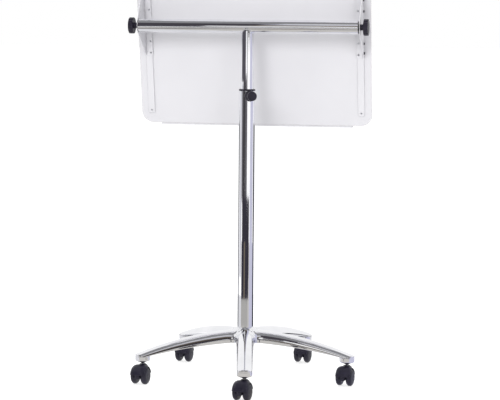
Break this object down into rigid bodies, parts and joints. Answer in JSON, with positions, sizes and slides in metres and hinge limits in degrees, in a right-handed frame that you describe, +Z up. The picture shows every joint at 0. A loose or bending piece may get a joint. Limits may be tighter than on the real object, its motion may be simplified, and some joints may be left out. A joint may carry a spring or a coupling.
{
  "type": "flipchart easel",
  "caption": "Mobile flipchart easel: a tilting round-cornered writing board with pen tray and pad clamp, on a telescopic chromed T-column and a star base with twin-wheel castors.",
  "frame": {"origin": "on the column's axis, on the floor under the castor wheels", "axes": "+Z is up along the column; the board's writing side faces -Y, its top leaning back towards +Y; +X runs along the crossbar towards its left end (left as seen from behind, where the column is)"},
  "size_m": [0.72, 0.6682, 1.7481],
  "materials": {
    "chrome": "polished chrome plating",
    "zinc_steel": "zinc-plated steel",
    "black_plastic": "fine-grained moulded plastic",
    "fibre": "matt fibre washer",
    "white_paint": "satin powder coat on sheet steel",
    "writing_enamel": "gloss lacquered writing surface on sheet steel",
    "core": "raw fibre board, enclosed",
    "aluminium": "satin anodised extrusion",
    "castor_black": "semi-gloss moulded nylon",
    "wheel_black": "semi-gloss moulded nylon tread"
  },
  "bodies": {
    "base": {"base_star": "chrome", "base_bolt": "zinc_steel", "base_washer": "zinc_steel", "column_tube": "chrome", "column_plug": "zinc_steel", "column_bush": "black_plastic", "clamp_boss": "chrome"},
    "height_clamp": {"height_knob": "black_plastic", "height_screw": "zinc_steel"},
    "mast_guide": {"mast_bush": "black_plastic"},
    "mast": {"mast_tube": "chrome", "crossbar": "chrome", "bar_insert_left": "zinc_steel", "bar_insert_right": "zinc_steel", "friction_washer_left": "fibre", "friction_washer_right": "fibre"},
    "tilt_clamp_left": {"tilt_knob_left": "black_plastic", "tilt_stud_left": "zinc_steel"},
    "tilt_clamp_right": {"tilt_knob_right": "black_plastic", "tilt_stud_right": "zinc_steel"},
    "board": {"bracket_left": "white_paint", "bracket_right": "white_paint", "rail_left": "white_paint", "rail_right": "white_paint", "board_front": "writing_enamel", "board_core": "core", "board_back": "white_paint", "pen_tray": "white_paint", "clamp_rail": "aluminium", "clamp_pin": "zinc_steel"},
    "pad_jaw": {"clamp_jaw": "aluminium"},
    "peg_left": {"pad_peg_left": "black_plastic"},
    "peg_right": {"pad_peg_right": "black_plastic"},
    "castor_1": {"castor_1_stem": "zinc_steel", "castor_1_hood": "castor_black", "castor_1_axle": "zinc_steel"},
    "castor_1_wheel_a": {"castor_1_wheel_a": "wheel_black"},
    "castor_1_wheel_b": {"castor_1_wheel_b": "wheel_black"},
    "castor_2": {"castor_2_stem": "zinc_steel", "castor_2_hood": "castor_black", "castor_2_axle": "zinc_steel"},
    "castor_2_wheel_a": {"castor_2_wheel_a": "wheel_black"},
    "castor_2_wheel_b": {"castor_2_wheel_b": "wheel_black"},
    "castor_3": {"castor_3_stem": "zinc_steel", "castor_3_hood": "castor_black", "castor_3_axle": "zinc_steel"},
    "castor_3_wheel_a": {"castor_3_wheel_a": "wheel_black"},
    "castor_3_wheel_b": {"castor_3_wheel_b": "wheel_black"},
    "castor_4": {"castor_4_stem": "zinc_steel", "castor_4_hood": "castor_black", "castor_4_axle": "zinc_steel"},
    "castor_4_wheel_a": {"castor_4_wheel_a": "wheel_black"},
    "castor_4_wheel_b": {"castor_4_wheel_b": "wheel_black"},
    "castor_5": {"castor_5_stem": "zinc_steel", "castor_5_hood": "castor_black", "castor_5_axle": "zinc_steel"},
    "castor_5_wheel_a": {"castor_5_wheel_a": "wheel_black"},
    "castor_5_wheel_b": {"castor_5_wheel_b": "wheel_black"}
  },
  "joints": [
    {"name": "height_slide", "type": "slide", "parent": "base", "child": "mast_guide", "axis": [0, 0, 1], "range_m": [-0.16, 0.23]},
    {"name": "mast_swivel", "type": "hinge", "parent": "mast_guide", "child": "mast", "pos_m": [0, 0, 0.85], "axis": [0, 0, 1], "continuous": true},
    {"name": "board_tilt", "type": "hinge", "parent": "mast", "child": "board", "pos_m": [0, 0, 1.048], "axis": [-1, 0, 0], "range_deg": [-11, 79]},
    {"name": "height_knob_turn", "type": "hinge", "parent": "base", "child": "height_clamp", "pos_m": [-0.01973, 0.04045, 0.845], "axis": [-0.4384, 0.8988, 0], "range_deg": [0, 270]},
    {"name": "tilt_knob_left_turn", "type": "hinge", "parent": "mast", "child": "tilt_clamp_left", "pos_m": [0.34, 0, 1.048], "axis": [1, 0, 0], "range_deg": [0, 270]},
    {"name": "tilt_knob_right_turn", "type": "hinge", "parent": "mast", "child": "tilt_clamp_right", "pos_m": [-0.34, 0, 1.048], "axis": [-1, 0, 0], "range_deg": [0, 270]},
    {"name": "pad_jaw_hinge", "type": "hinge", "parent": "board", "child": "pad_jaw", "pos_m": [0, 0.02262, 1.7241], "axis": [-1, 0, 0], "range_deg": [0, 60], "stiffness_Nm_per_rad": 0.3, "springref_deg": -28.65},
    {"name": "peg_left_slide", "type": "slide", "parent": "board", "child": "peg_left", "axis": [1, 0, 0], "range_m": [-0.06, 0.06]},
    {"name": "peg_right_slide", "type": "slide", "parent": "board", "child": "peg_right", "axis": [1, 0, 0], "range_m": [-0.06, 0.06]},
    {"name": "castor_1_swivel", "type": "hinge", "parent": "base", "child": "castor_1", "pos_m": [-0.0603, 0.31019, 0.07], "axis": [0, 0, 1], "continuous": true},
    {"name": "castor_1_spin_a", "type": "hinge", "parent": "castor_1", "child": "castor_1_wheel_a", "pos_m": [-0.05752, 0.32595, 0.025], "axis": [-0.9848, 0.1736, 0], "continuous": true},
    {"name": "castor_1_spin_b", "type": "hinge", "parent": "castor_1", "child": "castor_1_wheel_b", "pos_m": [-0.05752, 0.32595, 0.025], "axis": [-0.9848, 0.1736, 0], "continuous": true},
    {"name": "castor_2_swivel", "type": "hinge", "parent": "base", "child": "castor_2", "pos_m": [-0.31365, 0.03851, 0.07], "axis": [0, 0, 1], "continuous": true},
    {"name": "castor_2_spin_a", "type": "hinge", "parent": "castor_2", "child": "castor_2_wheel_a", "pos_m": [-0.31087, 0.05427, 0.025], "axis": [-0.9848, 0.1736, 0], "continuous": true},
    {"name": "castor_2_spin_b", "type": "hinge", "parent": "castor_2", "child": "castor_2_wheel_b", "pos_m": [-0.31087, 0.05427, 0.025], "axis": [-0.9848, 0.1736, 0], "continuous": true},
    {"name": "castor_3_swivel", "type": "hinge", "parent": "base", "child": "castor_3", "pos_m": [-0.13355, -0.28639, 0.07], "axis": [0, 0, 1], "continuous": true},
    {"name": "castor_3_spin_a", "type": "hinge", "parent": "castor_3", "child": "castor_3_wheel_a", "pos_m": [-0.13077, -0.27064, 0.025], "axis": [-0.9848, 0.1736, 0], "continuous": true},
    {"name": "castor_3_spin_b", "type": "hinge", "parent": "castor_3", "child": "castor_3_wheel_b", "pos_m": [-0.13077, -0.27064, 0.025], "axis": [-0.9848, 0.1736, 0], "continuous": true},
    {"name": "castor_4_swivel", "type": "hinge", "parent": "base", "child": "castor_4", "pos_m": [0.23111, -0.21551, 0.07], "axis": [0, 0, 1], "continuous": true},
    {"name": "castor_4_spin_a", "type": "hinge", "parent": "castor_4", "child": "castor_4_wheel_a", "pos_m": [0.23389, -0.19975, 0.025], "axis": [-0.9848, 0.1736, 0], "continuous": true},
    {"name": "castor_4_spin_b", "type": "hinge", "parent": "castor_4", "child": "castor_4_wheel_b", "pos_m": [0.23389, -0.19975, 0.025], "axis": [-0.9848, 0.1736, 0], "continuous": true},
    {"name": "castor_5_swivel", "type": "hinge", "parent": "base", "child": "castor_5", "pos_m": [0.27638, 0.1532, 0.07], "axis": [0, 0, 1], "continuous": true},
    {"name": "castor_5_spin_a", "type": "hinge", "parent": "castor_5", "child": "castor_5_wheel_a", "pos_m": [0.27916, 0.16896, 0.025], "axis": [-0.9848, 0.1736, 0], "continuous": true},
    {"name": "castor_5_spin_b", "type": "hinge", "parent": "castor_5", "child": "castor_5_wheel_b", "pos_m": [0.27916, 0.16896, 0.025], "axis": [-0.9848, 0.1736, 0], "continuous": true}
  ]
}
